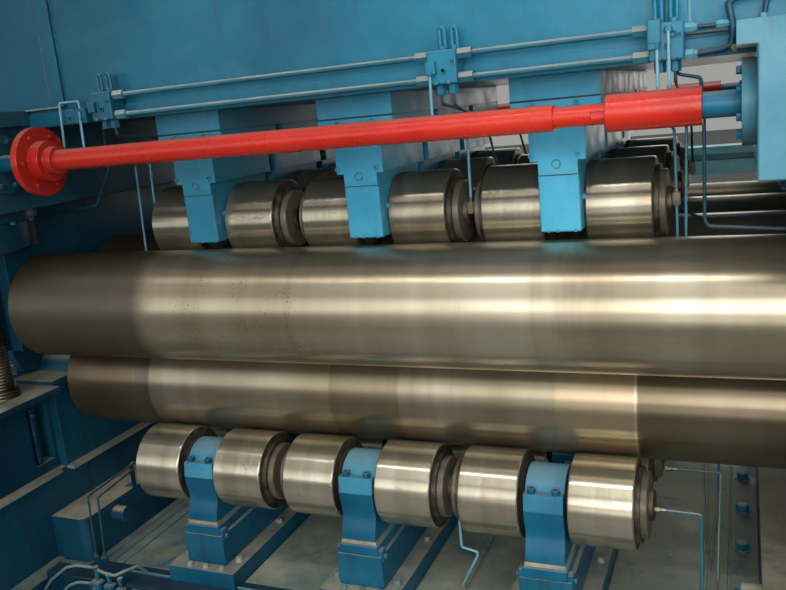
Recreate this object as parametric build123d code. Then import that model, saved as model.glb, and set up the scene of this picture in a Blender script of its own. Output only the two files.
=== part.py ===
from build123d import *
import os
from math import sqrt

# Sheet leveler with seven work rolls and rows of backup rollers.
# Millimetres, +X along the rolls, +Y with the sheet, +Z up, origin in the middle of the bed's underside.

# Work rolls
roll_radius = 190.0
barrel_length = 2620.0
roll_space = 30.0
sheet_room = 16.0
upper_roll_count = 4
lower_roll_count = 3
lower_axis_z = 961.2
barrel_chamfer = 12.0
shoulder_radius = 130.0
shoulder_length = 18.0
neck_radius = 75.0
neck_length = 165.0

# Backup rollers, in pairs on one fixed spindle
backup_radius = 135.0
backup_gap = 5.0
backup_width = 186.0
backup_chamfer = 4.0
end_ring_radius = 112.0
end_ring_length = 13.0
end_cap_radius = 97.0
end_cap_length = 18.0
spindle_radius = 34.0
collar_radius = 46.0
collar_length = 14.0
carrier_pitch = 608.0
carrier_count = 3
upper_carrier_offset = 33.0
lower_carrier_offset = -32.0
upper_side_gap = 3.5
lower_side_gap = 14.0

# Clearances
running_gap = 0.1
screw_gap = 0.3
clamp_gap = 0.05
neck_end_gap = 5.0
shoulder_gap = 8.0
edge_break = 3.0

# Bed
deck_z = 322.0
bed_margin_y = 185.0
front_rail_depth = 70.0
front_rail_height = 190.0
front_rail_lip = 6.0

# Plinths and side frames, placed from the ends of the barrels
plinth_gap = 20.0
wall_gap = 50.0
side_length = 530.0
side_margin_y = 445.0
ledge_drop = 307.0
wall_rise = 25.0
top_plate_thickness = 22.0
top_plate_overhang = 77.0
top_plate_corner = 60.0
pocket_width = 95.0
pocket_depth = 60.0
pocket_margin = 40.0
pocket_setback = 20.0

# Lower chocks
chock_gap = 15.0
chock_depth = 185.0
chock_margin_y = 240.0
chock_rise = 39.0
bearing_housing_radius = 125.0

# Guide blocks beside the deck
guide_block_width = 165.0
guide_block_height = 178.0
guide_block_margin_y = 155.0
guide_block_round = 40.0
stop_pin_radius = 30.0
stop_pin_length = 55.0
stop_pin_setback = 165.0
stop_pin_drop = 53.0

# Rails that carry the pedestals
sole_half_width = 136.0
sole_height = 64.0
rail_half_width = 79.0
rail_height = 112.0
rail_setback = 45.0

# Pedestals under the lower backup rollers
pedestal_width = 118.0
pedestal_half_depth = 108.0
pedestal_bulge = 8.0
pedestal_waist = 106.0
pedestal_waist_drop = 82.0
pedestal_flare = 127.0
foot_width = 134.0
foot_half_depth = 138.0
foot_height = 35.0
shim_height = 12.0
shim_margin = 3.0
cap_radius = 98.0
cap_ledge = 52.0

# Brackets above the upper backup rollers
bearing_block_width = 115.0
bearing_block_foot = 48.6
bearing_block_rise = 113.4
bracket_neck_width = 111.0
bracket_neck_rise = 152.4
bracket_mid_width = 157.0
bracket_mid_rise = 241.4
bracket_top_width = 250.0
bracket_rail_height = 65.0
bracket_space = 27.0

# Upper beam
beam_clearance = 385.4
beam_height = 656.0
beam_margin_y = 105.0
beam_overhang = 230.0
beam_lip_height = 46.0
beam_plate_depth = 12.0
end_plate_inset = 365.0
end_plate_rise = 60.0

# Girders with the lifting gears, and the upper chocks that hang from them
girder_overlap = 165.0
girder_length = 515.0
girder_margin_y = 230.0
girder_drop = 269.0
girder_rise = 60.0
girder_lip_length = 40.0
girder_lip_height = 49.0
upper_chock_gap = 35.0
upper_chock_thickness = 105.0
upper_chock_margin_y = 120.0
upper_chock_drop = 150.0
neck_cover_radius = 105.0

# Lifting screws
screw_gap_x = 115.0
screw_gap_y = 70.0
screw_radius = 45.0
screw_length = 1420.0
screw_foot_radius = 60.0
screw_foot_height = 30.0
nut_housing_radius = 200.0
nut_housing_height = 110.0
nut_flange_radius = 232.0
nut_flange_height = 35.0
nut_edge = 10.0

# Cross shafts
shaft_rise = 161.0
shaft_gap_y = 145.0
tube_radius = 32.5
keyed_radius = 25.0
keyed_length = 125.0
keyway_width = 14.0
keyway_depth = 5.0
keyway_length = 36.0
sleeve_radius = 44.0
sleeve_length = 212.0
sleeve_end_gap = 112.0
stub_radius = 30.0
stub_depth = 95.0
stub_bore_depth = 100.0
coupling_radius = 109.0
coupling_gap = 145.0
coupling_cone_length = 32.0
coupling_cone_radius = 66.0
coupling_disc_length = 23.0
coupling_hub_radius = 65.0
coupling_hub_length = 40.0
coupling_neck_radius = 45.0
coupling_neck_length = 30.0
bearing_flange_radius = 95.5
bearing_flange_thickness = 30.0

# Lubrication blocks and pipes on the beam
left_block_gap = 409.0
right_block_gap = 193.0
right_block_pitch = 556.0
block_width = 80.0
block_depth = 80.0
block_height = 87.0
valve_width = 26.0
valve_height = 32.0
valve_depth = 14.0
outlet_spacing = 34.0
outlet_size = 24.0
outlet_height = 26.0
pipe_radius = 7.5
pipe_rises = (14.0, 74.0)
pipe_stand_off = 55.0
pipe_nut_size = 26.0
pipe_nut_length = 38.0

# Exit tie
tie_depth = 120.0
tie_foot_z = 1475.0
tie_height = 122.0
tie_inset = 60.0
tie_leg_width = 140.0
tie_slot_rise = 75.0
tie_slot_height = 27.0
tie_slot_depth = 60.0

# Drive motor on the left top plate
motor_end_margin = 10.0
motor_y = -520.0
motor_radius = 98.0
fin_radius = 114.0
fin_thickness = 5.0
fin_root = 4.0
fin_count = 36
motor_length = 330.0
end_shield_length = 34.0
end_shield_radius = 108.0
motor_foot_height = 12.0
motor_foot_width = 220.0
motor_foot_length = 210.0
terminal_box_size = 90.0

# Places worked out from the sizes above
roll_pitch = 2 * roll_radius + roll_space
roll_half_pitch = roll_pitch / 2
roll_drop = sqrt((2 * roll_radius + sheet_room) ** 2 - roll_half_pitch ** 2)
backup_distance = roll_radius + backup_radius + backup_gap
backup_rise = sqrt(backup_distance ** 2 - roll_half_pitch ** 2)
upper_axis_z = lower_axis_z + roll_drop
upper_backup_z = upper_axis_z + backup_rise
lower_backup_z = lower_axis_z - backup_rise
barrel_half = barrel_length / 2
neck_end_x = barrel_half + shoulder_length + neck_length
outer_row_y = (upper_roll_count - 1) * roll_half_pitch
bed_half_y = outer_row_y + bed_margin_y
side_inner_x = barrel_half + plinth_gap
side_outer_x = side_inner_x + side_length
side_half_y = outer_row_y + side_margin_y
wall_inner_x = barrel_half + wall_gap
ledge_z = lower_axis_z - ledge_drop
wall_top_z = lower_axis_z + wall_rise
chock_inner_x = barrel_half + chock_gap
chock_outer_x = chock_inner_x + chock_depth
chock_half_y = (lower_roll_count - 1) * roll_half_pitch + chock_margin_y
guide_block_inner_x = side_inner_x - guide_block_width
guide_block_half_y = outer_row_y + guide_block_margin_y
rail_top_z = deck_z + sole_height + rail_height
shim_foot_z = rail_top_z + foot_height
shim_top_z = shim_foot_z + shim_height
bracket_half_depth = roll_half_pitch - bracket_space
bearing_block_top_z = upper_backup_z + bearing_block_rise
beam_bottom_z = upper_backup_z + beam_clearance
beam_half_y = outer_row_y + beam_margin_y
beam_end_x = barrel_half + beam_overhang
bracket_top_z = beam_bottom_z - bracket_rail_height
girder_inner_x = barrel_half - girder_overlap
girder_outer_x = girder_inner_x + girder_length
girder_bottom_z = beam_bottom_z - girder_drop
girder_top_z = beam_bottom_z + girder_rise
upper_chock_inner_x = barrel_half + upper_chock_gap
upper_chock_outer_x = upper_chock_inner_x + upper_chock_thickness
upper_chock_half_y = outer_row_y + upper_chock_margin_y
screw_x = barrel_half + screw_gap_x
screw_y = beam_half_y + screw_gap_y
girder_half_y = screw_y + girder_margin_y
shaft_axis_y = beam_half_y + shaft_gap_y
shaft_axis_z = girder_bottom_z + shaft_rise
right_block_x = girder_inner_x - right_block_gap
block_x = (-girder_inner_x + left_block_gap, right_block_x - right_block_pitch, right_block_x)
both_sides = (-1, 1)


def row_places(count, pitch, middle=0.0):
    """Places of a row of like pieces, centred on its middle."""
    return [middle + (i - (count - 1) / 2) * pitch for i in range(count)]


upper_roll_y = row_places(upper_roll_count, roll_pitch)
lower_roll_y = row_places(lower_roll_count, roll_pitch)
bracket_x = row_places(carrier_count, carrier_pitch, upper_carrier_offset)
pedestal_x = row_places(carrier_count, carrier_pitch, lower_carrier_offset)
screw_places = [(sx * screw_x, sy * screw_y) for sx in both_sides for sy in both_sides]


def block(x0, x1, y0, y1, z0, z1):
    """A box between two corners, in any order."""
    centre = ((x0 + x1) / 2, (y0 + y1) / 2, (z0 + z1) / 2)
    return Pos(*centre) * Box(abs(x1 - x0), abs(y1 - y0), abs(z1 - z0))


def eased_block(x0, x1, y0, y1, z0, z1):
    """A box between two corners with all its edges broken."""
    centre = ((x0 + x1) / 2, (y0 + y1) / 2, (z0 + z1) / 2)
    box = Box(abs(x1 - x0), abs(y1 - y0), abs(z1 - z0))
    return Pos(*centre) * chamfer(box.edges(), edge_break)


def rod_x(x0, x1, y, z, radius):
    """A round bar along X."""
    bar = Rot(0, 90, 0) * Cylinder(radius, abs(x1 - x0))
    return Pos((x0 + x1) / 2, y, z) * bar


def rod_z(x, y, z0, z1, radius):
    """A round bar along Z."""
    return Pos(x, y, (z0 + z1) / 2) * Cylinder(radius, abs(z1 - z0))


def hex_bar_x(x0, x1, y, z, across_flats):
    """A hexagonal bar along X."""
    outline = Plane.YZ * RegularPolygon(across_flats / 2, 6, major_radius=False)
    return Pos(min(x0, x1), y, z) * extrude(outline, abs(x1 - x0))


def turned(points, y, z):
    """A turned piece about an axis along X, from its (x, radius) points."""
    profile = make_face(Polyline(*points, close=True))
    return Pos(0, y, z) * revolve(profile, Axis.X, 360)


def prism_z(points, z0, z1):
    """A solid between two heights with an outline given as (x, y) points."""
    return Pos(0, 0, z0) * extrude(make_face(Polyline(*points, close=True)), z1 - z0)


def work_roll(y, z):
    """Barrel with chamfered edges, shoulders and bearing necks."""
    half = [
        (neck_end_x, 0),
        (neck_end_x, neck_radius - edge_break),
        (neck_end_x - edge_break, neck_radius),
        (barrel_half + shoulder_length, neck_radius),
        (barrel_half + shoulder_length, shoulder_radius),
        (barrel_half, shoulder_radius),
        (barrel_half, roll_radius - barrel_chamfer),
        (barrel_half - barrel_chamfer, roll_radius),
    ]
    mirrored = [(-x, r) for x, r in reversed(half)]
    return turned(half + mirrored, y, z)


def roller_reach(carrier_width, side_gap):
    """Distance from a carrier's middle to the inner face and the outer end of its roller."""
    inner = carrier_width / 2 + side_gap
    return inner, inner + backup_width + end_ring_length + end_cap_length


def backup_roller(x, y, z, side, carrier_width, side_gap):
    """Roller with a stepped end ring and cap, bored for a fixed spindle."""
    inner, end = roller_reach(carrier_width, side_gap)
    outer = inner + backup_width
    bore = spindle_radius + running_gap
    points = [
        (inner, bore),
        (inner, backup_radius - backup_chamfer),
        (inner + backup_chamfer, backup_radius),
        (outer - backup_chamfer, backup_radius),
        (outer, backup_radius - backup_chamfer),
        (outer, end_ring_radius),
        (outer + end_ring_length, end_ring_radius),
        (outer + end_ring_length, end_cap_radius),
        (end - edge_break, end_cap_radius),
        (end, end_cap_radius - edge_break),
        (end, bore),
    ]
    return Pos(x, 0, 0) * turned([(side * px, r) for px, r in points], y, z)


def backup_row(places, y, z, carrier_width, side_gap):
    """All the backup rollers of one row."""
    return Compound([
        backup_roller(x, y, z, side, carrier_width, side_gap) for x in places for side in both_sides
    ])


def spindle(x, y, z, carrier_width, side_gap):
    """Fixed spindle through a carrier, with an end collar outside each roller."""
    end = roller_reach(carrier_width, side_gap)[1] + running_gap
    half = [
        (end + collar_length, 0),
        (end + collar_length, collar_radius - edge_break),
        (end + collar_length - edge_break, collar_radius),
        (end, collar_radius),
        (end, spindle_radius),
    ]
    mirrored = [(-px, r) for px, r in reversed(half)]
    return Pos(x, 0, 0) * turned(half + mirrored, y, z)


def bed_frame():
    """Deck box between the plinths."""
    return block(-side_inner_x, side_inner_x, -bed_half_y, bed_half_y, 0, deck_z)


def bed_rail(side):
    """Rail along the front (side -1) or back (side +1) edge of the deck."""
    inner = side * bed_half_y
    outer = inner + side * front_rail_depth
    foot = deck_z - front_rail_height
    return eased_block(-side_inner_x, side_inner_x, inner, outer, foot, deck_z + front_rail_lip)


def side_base(side):
    """Plinth beside the deck, from the floor to the ledge."""
    return block(side * side_inner_x, side * side_outer_x, -side_half_y, side_half_y, 0, ledge_z)


def side_frame(side):
    """Side wall on the plinth, with a seat for the chock, pockets at its ends and a top plate."""
    plate_foot = wall_top_z - top_plate_thickness
    wall = block(side * wall_inner_x, side * side_outer_x, -side_half_y, side_half_y, ledge_z, plate_foot)
    inner = side * (wall_inner_x - top_plate_overhang)
    outer = side * side_outer_x
    corner = top_plate_corner
    plate = prism_z([
        (outer, -side_half_y),
        (inner + side * corner, -side_half_y),
        (inner, -side_half_y + corner),
        (inner, side_half_y - corner),
        (inner + side * corner, side_half_y),
        (outer, side_half_y),
    ], plate_foot, wall_top_z)
    seat = block(inner, side * chock_outer_x, -chock_half_y, chock_half_y, ledge_z, wall_top_z)
    body = wall + plate - seat
    for end in both_sides:
        near = end * (chock_half_y + pocket_setback)
        far = near + end * pocket_width
        floor = side * (wall_inner_x + pocket_depth)
        foot = ledge_z + pocket_margin
        top = plate_foot - pocket_margin
        body -= block(side * wall_inner_x, floor, near, far, foot, top)
    return body


def lower_chock(side):
    """Chock block in the side frame, with a round bearing housing at each lower roll."""
    inner = side * chock_inner_x
    outer = side * chock_outer_x
    body = block(inner, outer, -chock_half_y, chock_half_y, ledge_z, lower_axis_z + chock_rise)
    bore_end = side * (neck_end_x + neck_end_gap)
    recess_end = side * (barrel_half + shoulder_length + neck_end_gap)
    for y in lower_roll_y:
        body += rod_x(inner, outer, y, lower_axis_z, bearing_housing_radius)
    for y in lower_roll_y:
        body -= rod_x(inner, recess_end, y, lower_axis_z, shoulder_radius + shoulder_gap)
        body -= rod_x(inner, bore_end, y, lower_axis_z, neck_radius + running_gap)
    return body


def guide_block(side):
    """Low block along the inside of the plinth, its inner corners rounded, with a round stop pin."""
    inner = side * guide_block_inner_x
    outer = side * side_inner_x
    y0 = -guide_block_half_y
    top = deck_z + guide_block_height
    body = block(inner, outer, y0, guide_block_half_y, deck_z, top)
    upright_edges = sorted(body.edges().filter_by(Axis.Z), key=lambda edge: abs(edge.center().X))
    body = fillet(upright_edges[:2], guide_block_round)
    pin_end = inner - side * stop_pin_length
    return body + rod_x(inner, pin_end, y0 + stop_pin_setback, top - stop_pin_drop, stop_pin_radius)


def pedestal_rail(x):
    """Sole plate on the deck and the rail on it, along Y under one column of pedestals."""
    rail_y = bed_half_y - rail_setback
    sole_top = deck_z + sole_height
    sole = block(x - sole_half_width, x + sole_half_width, -bed_half_y, bed_half_y, deck_z, sole_top)
    rail = block(x - rail_half_width, x + rail_half_width, -rail_y, rail_y, sole_top, rail_top_z)
    return sole + rail


def pedestal_foot(x, y):
    """Foot block that is clamped on the rail."""
    half = foot_width / 2
    return eased_block(x - half, x + half, y - foot_half_depth, y + foot_half_depth, rail_top_z, shim_foot_z)


def pedestal_shim(x, y):
    """Packing plate that sets the pedestal's height."""
    half = pedestal_width / 2 + shim_margin
    depth = pedestal_flare + shim_margin
    return block(x - half, x + half, y - depth, y + depth, shim_foot_z, shim_top_z)


def pedestal_face():
    """Outline of a pedestal seen along X: bulged at the bearing, drawn in to a waist, flared at the foot."""
    sides = []
    for side in both_sides:
        sides.append(Spline(
            (side * (pedestal_half_depth + pedestal_bulge), lower_backup_z),
            (side * pedestal_waist, lower_backup_z - pedestal_waist_drop),
            (side * pedestal_flare, shim_top_z),
            tangents=[(0, -1), (0, -1)],
        ))
    top = Line(sides[0] @ 0, sides[1] @ 0)
    bottom = Line(sides[0] @ 1, sides[1] @ 1)
    return Plane.YZ * make_face([sides[0], sides[1], top, bottom])


def pedestal(x, y):
    """Pedestal under one pair of lower backup rollers, up to half a bearing."""
    half = pedestal_width / 2
    body = Pos(x, y, 0) * extrude(pedestal_face(), half, both=True)
    return body - rod_x(x - half, x + half, y, lower_backup_z, spindle_radius + clamp_gap)


def cap_face():
    """Outline of a bearing cap seen along X: a dome behind flat ledges for the bolts."""
    ledge_y = sqrt(cap_radius ** 2 - cap_ledge ** 2)
    ledge_z = lower_backup_z + cap_ledge
    foot_y = pedestal_half_depth + pedestal_bulge
    dome = ThreePointArc((-ledge_y, ledge_z), (0, lower_backup_z + cap_radius), (ledge_y, ledge_z))
    rest = Polyline(
        (ledge_y, ledge_z),
        (pedestal_half_depth, ledge_z),
        (foot_y, lower_backup_z),
        (-foot_y, lower_backup_z),
        (-pedestal_half_depth, ledge_z),
        (-ledge_y, ledge_z),
    )
    return Plane.YZ * make_face([dome, rest])


def pedestal_cap(x, y):
    """Bearing cap over the upper half of the spindle."""
    half = pedestal_width / 2
    cap = Pos(x, y, 0) * extrude(cap_face(), half, both=True)
    return cap - rod_x(x - half, x + half, y, lower_backup_z, spindle_radius + clamp_gap)


def bracket_rail(x):
    """Plate along Y under the beam that carries one column of brackets."""
    half = bracket_top_width / 2
    reach = lower_roll_y[-1] + bracket_half_depth
    return block(x - half, x + half, -reach, reach, bracket_top_z, beam_bottom_z)


def bracket(x, y):
    """Bracket that hangs from its rail, narrower in steps down to the bearing block."""
    def slab(width, z0, z1):
        return block(x - width / 2, x + width / 2, y - bracket_half_depth, y + bracket_half_depth, z0, z1)

    neck_top = upper_backup_z + bracket_neck_rise
    mid_top = upper_backup_z + bracket_mid_rise
    body = slab(bracket_neck_width, bearing_block_top_z, neck_top)
    body += slab(bracket_mid_width, neck_top, mid_top)
    return body + slab(bracket_top_width, mid_top, bracket_top_z)


def bearing_block(x, y):
    """Block bolted under a bracket, bored for the spindle of its backup rollers."""
    half = bearing_block_width / 2
    y0 = y - bracket_half_depth
    y1 = y + bracket_half_depth
    body = eased_block(x - half, x + half, y0, y1, upper_backup_z - bearing_block_foot, bearing_block_top_z)
    return body - rod_x(x - half, x + half, y, upper_backup_z, spindle_radius + clamp_gap)


def upper_beam():
    """Box beam across the machine, notched over the girders, with a lip and raised end plates."""
    lower = block(-girder_inner_x, girder_inner_x, -beam_half_y, beam_half_y, beam_bottom_z, girder_top_z)
    lip_top = beam_bottom_z + beam_lip_height
    top = beam_bottom_z + beam_height
    body = lower + block(-beam_end_x, beam_end_x, -beam_half_y, beam_half_y, girder_top_z, top)
    for side in both_sides:
        face = side * beam_half_y
        lip = face + side * beam_plate_depth
        body += block(-girder_inner_x, girder_inner_x, face, lip, beam_bottom_z, lip_top)
    for side in both_sides:
        plate_inner = side * (barrel_half - end_plate_inset)
        for end in both_sides:
            face = end * beam_half_y
            plate = face + end * beam_plate_depth
            body += block(plate_inner, side * beam_end_x, face, plate, beam_bottom_z + end_plate_rise, top)
    return body


def end_girder(side):
    """Girder under each end of the beam, bored for the lifting screws and the shaft stubs."""
    inner = side * girder_inner_x
    outer = side * girder_outer_x
    body = eased_block(inner, outer, -girder_half_y, girder_half_y, girder_bottom_z, girder_top_z)
    lip_inner = inner - side * girder_lip_length
    lip_outer = inner + side * girder_lip_length
    lip_foot = girder_top_z - girder_lip_height
    for end in both_sides:
        near = end * (beam_half_y + beam_plate_depth)
        body += block(lip_inner, lip_outer, near, end * girder_half_y, lip_foot, girder_top_z)
    for y in (-screw_y, screw_y):
        body -= rod_z(side * screw_x, y, girder_bottom_z, girder_top_z, screw_radius + screw_gap)
    for y in (-shaft_axis_y, shaft_axis_y):
        bore_end = inner + side * stub_bore_depth
        body -= rod_x(inner, bore_end, y, shaft_axis_z, stub_radius + running_gap)
    return body


def nut_housing(x, y):
    """Round nut housing and flange under the girder, bored for the lifting screw."""
    foot = girder_bottom_z - nut_flange_height - nut_housing_height
    flange_foot = girder_bottom_z - nut_flange_height
    bore = screw_radius + screw_gap
    profile = Polyline(
        (bore, foot),
        (nut_housing_radius - nut_edge, foot),
        (nut_housing_radius, foot + nut_edge),
        (nut_housing_radius, flange_foot),
        (nut_flange_radius, flange_foot),
        (nut_flange_radius, girder_bottom_z),
        (bore, girder_bottom_z),
        close=True,
    )
    return Pos(x, y, 0) * revolve(Plane.XZ * make_face(profile), Axis.Z, 360)


def upper_chock(side):
    """Plate that hangs from the girder and carries the upper work rolls, with a cover over each neck."""
    inner = side * upper_chock_inner_x
    outer = side * upper_chock_outer_x
    foot = upper_axis_z - upper_chock_drop
    body = block(inner, outer, -upper_chock_half_y, upper_chock_half_y, foot, girder_bottom_z)
    relief_foot = girder_bottom_z - nut_flange_height - nut_housing_height - neck_end_gap
    for y in (-screw_y, screw_y):
        body -= rod_z(side * screw_x, y, relief_foot, girder_bottom_z, nut_flange_radius + neck_end_gap)
    bore_end = side * (neck_end_x + neck_end_gap)
    cover_end = side * chock_outer_x
    for y in upper_roll_y:
        body += rod_x(outer, cover_end, y, upper_axis_z, neck_cover_radius)
        body -= rod_x(inner, bore_end, y, upper_axis_z, neck_radius + running_gap)
    return body


def lifting_screw(x, y):
    """Fixed threaded column with a foot on the side frame's top plate."""
    foot_top = wall_top_z + screw_foot_height
    body = rod_z(x, y, wall_top_z, foot_top, screw_foot_radius)
    return body + rod_z(x, y, foot_top, wall_top_z + screw_length, screw_radius)


def cross_shaft(y):
    """Painted tube with a coned flange coupling, a keyed length and a sliding sleeve."""
    left = -girder_inner_x + coupling_gap
    disc = left + coupling_cone_length
    hub = disc + coupling_disc_length
    neck = hub + coupling_hub_length
    tube_start = neck + coupling_neck_length
    sleeve_end = girder_inner_x - sleeve_end_gap
    sleeve_start = sleeve_end - sleeve_length
    tube_end = sleeve_start - keyed_length
    points = [
        (left, 0),
        (left, coupling_cone_radius),
        (disc, coupling_radius),
        (hub, coupling_radius),
        (hub, coupling_hub_radius),
        (neck, coupling_hub_radius),
        (neck, coupling_neck_radius),
        (tube_start, coupling_neck_radius),
        (tube_start, tube_radius),
        (tube_end, tube_radius),
        (tube_end, keyed_radius),
        (sleeve_start, keyed_radius),
        (sleeve_start, sleeve_radius),
        (sleeve_end, sleeve_radius),
        (sleeve_end, 0),
    ]
    shaft = turned(points, y, shaft_axis_z)
    half = keyway_width / 2
    for side in both_sides:
        floor = y + side * (keyed_radius - keyway_depth)
        rim = y + side * keyed_radius
        z = shaft_axis_z
        shaft -= block(sleeve_start - keyway_length, sleeve_start, floor, rim, z - half, z + half)
    return shaft


def shaft_stubs(y):
    """Gearbox shafts that reach out to each end of the cross shaft."""
    reach = girder_inner_x + stub_depth
    left = rod_x(-girder_inner_x + coupling_gap, -reach, y, shaft_axis_z, stub_radius)
    right = rod_x(girder_inner_x - sleeve_end_gap, reach, y, shaft_axis_z, stub_radius)
    return Compound([left, right])


def bearing_flange(side, y):
    """Round bolted flange on the girder's inner face, where a shaft stub leaves it."""
    inner = side * (girder_inner_x - bearing_flange_thickness)
    flange = rod_x(inner, side * girder_inner_x, y, shaft_axis_z, bearing_flange_radius)
    return flange - rod_x(inner, side * girder_inner_x, y, shaft_axis_z, stub_radius + running_gap)


def lubrication_block(x):
    """Distributor block on the beam's lip, with a valve at its left and two outlets below."""
    back = -beam_half_y - beam_plate_depth
    front = -beam_half_y - block_depth
    half = block_width / 2
    middle_y = (back + front) / 2
    foot = beam_bottom_z
    body = eased_block(x - half, x + half, front, back, foot, foot + block_height)
    valve_foot = foot + (block_height - valve_height) / 2
    valve_front = front - valve_depth
    body += block(x - half, x - half + valve_width, valve_front, front, valve_foot, valve_foot + valve_height)
    for place in (-outlet_spacing / 2, outlet_spacing / 2):
        nut = RegularPolygon(outlet_size / 2, 6, major_radius=False)
        body += Pos(x + place, middle_y, foot - outlet_height) * extrude(nut, outlet_height)
    return body


def beam_pipes():
    """Two lubrication pipes between the distributor blocks, with a hexagonal nut at each end."""
    pipes = []
    y = -beam_half_y - pipe_stand_off
    for left, right in zip(block_x[:-1], block_x[1:]):
        start = left + block_width / 2
        stop = right - block_width / 2
        for rise in pipe_rises:
            z = beam_bottom_z + rise
            pipe = rod_x(start, stop, y, z, pipe_radius)
            pipe += hex_bar_x(start, start + pipe_nut_length, y, z, pipe_nut_size)
            pipe += hex_bar_x(stop - pipe_nut_length, stop, y, z, pipe_nut_size)
            pipes.append(pipe)
    return Compound(pipes)


def exit_tie():
    """Cross tie behind the side frames, slotted along its front, on a leg at each end."""
    front = side_half_y
    back = side_half_y + tie_depth
    end = side_outer_x - tie_inset
    top = tie_foot_z + tie_height
    tie = block(-end, end, front, back, tie_foot_z, top)
    for side in both_sides:
        tie += block(side * (end - tie_leg_width), side * end, front, back, 0, top)
    middle = tie_foot_z + tie_slot_rise
    slot_end = end - tie_leg_width
    half = tie_slot_height / 2
    return tie - block(-slot_end, slot_end, front, front + tie_slot_depth, middle - half, middle + half)


def motor_section():
    """Cross section of the finned motor casing."""
    root = motor_radius - fin_root
    fin = Pos((fin_radius + root) / 2, 0) * Rectangle(fin_radius - root, fin_thickness)
    section = Circle(motor_radius)
    for i in range(fin_count):
        section += Rot(0, 0, i * 360 / fin_count) * fin
    return section


def drive_motor():
    """Foot-mounted motor with cooling fins, end shields and a terminal box, on the left top plate."""
    end = -side_outer_x + motor_end_margin
    start = end + motor_length
    axis_z = wall_top_z + motor_foot_height + fin_radius
    fin_start = start - end_shield_length
    fin_end = end + end_shield_length
    casing = Pos(fin_end, motor_y, axis_z) * extrude(Plane.YZ * motor_section(), fin_start - fin_end)
    body = casing + rod_x(start, fin_start, motor_y, axis_z, end_shield_radius)
    body += rod_x(fin_end, end, motor_y, axis_z, end_shield_radius)
    middle = (start + end) / 2
    half_length = motor_foot_length / 2
    half_width = motor_foot_width / 2
    foot_y0 = motor_y - half_width
    foot_y1 = motor_y + half_width
    foot_top = wall_top_z + motor_foot_height
    body += block(middle - half_length, middle + half_length, foot_y0, foot_y1, wall_top_z, foot_top)
    web = half_width / 2
    body += block(middle - half_length, middle + half_length, motor_y - web, motor_y + web, foot_top, axis_z)
    half = terminal_box_size / 2
    box_top = axis_z + fin_radius + half
    box_y0 = motor_y - half
    box_y1 = motor_y + half
    return body + eased_block(middle - half, middle + half, box_y0, box_y1, axis_z, box_top)


upper_carrier = (bearing_block_width, upper_side_gap)
lower_carrier = (pedestal_width, lower_side_gap)
pedestal_places = [(x, y) for x in pedestal_x for y in upper_roll_y]
bracket_places = [(x, y) for x in bracket_x for y in lower_roll_y]
nodes = {
    "bed_frame": bed_frame(),
    "bed_rails": Compound([bed_rail(side) for side in both_sides]),
    "side_bases": Compound([side_base(side) for side in both_sides]),
    "side_frames": Compound([side_frame(side) for side in both_sides]),
    "guide_blocks": Compound([guide_block(side) for side in both_sides]),
    "lower_chocks": Compound([lower_chock(side) for side in both_sides]),
    "pedestal_rails": Compound([pedestal_rail(x) for x in pedestal_x]),
    "pedestal_feet": Compound([pedestal_foot(x, y) for x, y in pedestal_places]),
    "pedestal_shims": Compound([pedestal_shim(x, y) for x, y in pedestal_places]),
    "pedestals": Compound([pedestal(x, y) for x, y in pedestal_places]),
    "lower_bearing_caps": Compound([pedestal_cap(x, y) for x, y in pedestal_places]),
    "lower_spindles": Compound([spindle(x, y, lower_backup_z, *lower_carrier) for x, y in pedestal_places]),
    "lifting_screws": Compound([lifting_screw(x, y) for x, y in screw_places]),
    "exit_tie": exit_tie(),
    "drive_motor": drive_motor(),
    "upper_beam": upper_beam(),
    "end_girders": Compound([end_girder(side) for side in both_sides]),
    "upper_chocks": Compound([upper_chock(side) for side in both_sides]),
    "nut_housings": Compound([nut_housing(x, y) for x, y in screw_places]),
    "bracket_rails": Compound([bracket_rail(x) for x in bracket_x]),
    "brackets": Compound([bracket(x, y) for x, y in bracket_places]),
    "upper_bearing_caps": Compound([bearing_block(x, y) for x, y in bracket_places]),
    "upper_spindles": Compound([spindle(x, y, upper_backup_z, *upper_carrier) for x, y in bracket_places]),
    "shaft_flanges": Compound([
        bearing_flange(side, y) for side in both_sides for y in (-shaft_axis_y, shaft_axis_y)
    ]),
    "manifold_blocks": Compound([lubrication_block(x) for x in block_x]),
    "beam_pipes": beam_pipes(),
    "front_cross_shaft": cross_shaft(-shaft_axis_y),
    "rear_cross_shaft": cross_shaft(shaft_axis_y),
    "front_shaft_stubs": shaft_stubs(-shaft_axis_y),
    "rear_shaft_stubs": shaft_stubs(shaft_axis_y),
}
for i, y in enumerate(upper_roll_y, 1):
    nodes["upper_work_roll_%d" % i] = work_roll(y, upper_axis_z)
    nodes["lower_backup_row_%d" % i] = backup_row(pedestal_x, y, lower_backup_z, *lower_carrier)
for i, y in enumerate(lower_roll_y, 1):
    nodes["lower_work_roll_%d" % i] = work_roll(y, lower_axis_z)
    nodes["upper_backup_row_%d" % i] = backup_row(bracket_x, y, upper_backup_z, *upper_carrier)

os.makedirs("parts", exist_ok=True)
for node, shape in nodes.items():
    export_step(shape, "parts/%s.step" % node)
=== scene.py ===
import math
import random
import bpy
import bmesh
from mathutils import Matrix, Vector


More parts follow.
